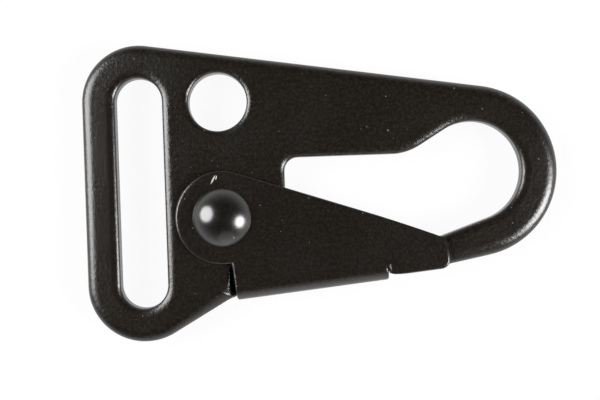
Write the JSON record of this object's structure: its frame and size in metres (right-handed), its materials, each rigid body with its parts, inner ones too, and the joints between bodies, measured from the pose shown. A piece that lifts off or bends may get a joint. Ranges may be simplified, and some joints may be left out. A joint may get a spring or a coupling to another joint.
{
  "type": "snap hook",
  "caption": "Flat blackened-steel snap hook for webbing, with a strap slot, a cord hole and a sprung folded-sheet gate.",
  "frame": {"origin": "centre of the cord hole, half way through the plate", "axes": "+X from the strap slot towards the bowl, +Y along the strap slot, +Z through the plate out of the side with the domed rivet head"},
  "size_m": [0.0665, 0.0417, 0.0076],
  "materials": {
    "plate_black": "black oxide, satin",
    "gate_black": "black oxide on sheet, satin",
    "rivet_black": "black oxide, smooth",
    "spring_wire": "bare spring steel"
  },
  "bodies": {
    "hook": {"hook_plate": "plate_black", "gate_spring": "spring_wire"},
    "gate_arm": {"gate": "gate_black", "rivet": "rivet_black"}
  },
  "joints": [
    {"name": "gate_pivot", "type": "hinge", "parent": "hook", "child": "gate_arm", "pos_m": [0.0002, -0.0162, 0], "axis": [0, 0, 1], "range_deg": [0, 30], "stiffness_Nm_per_rad": 0.05, "springref_deg": -68.75, "deforming": ["gate_spring"]}
  ]
}
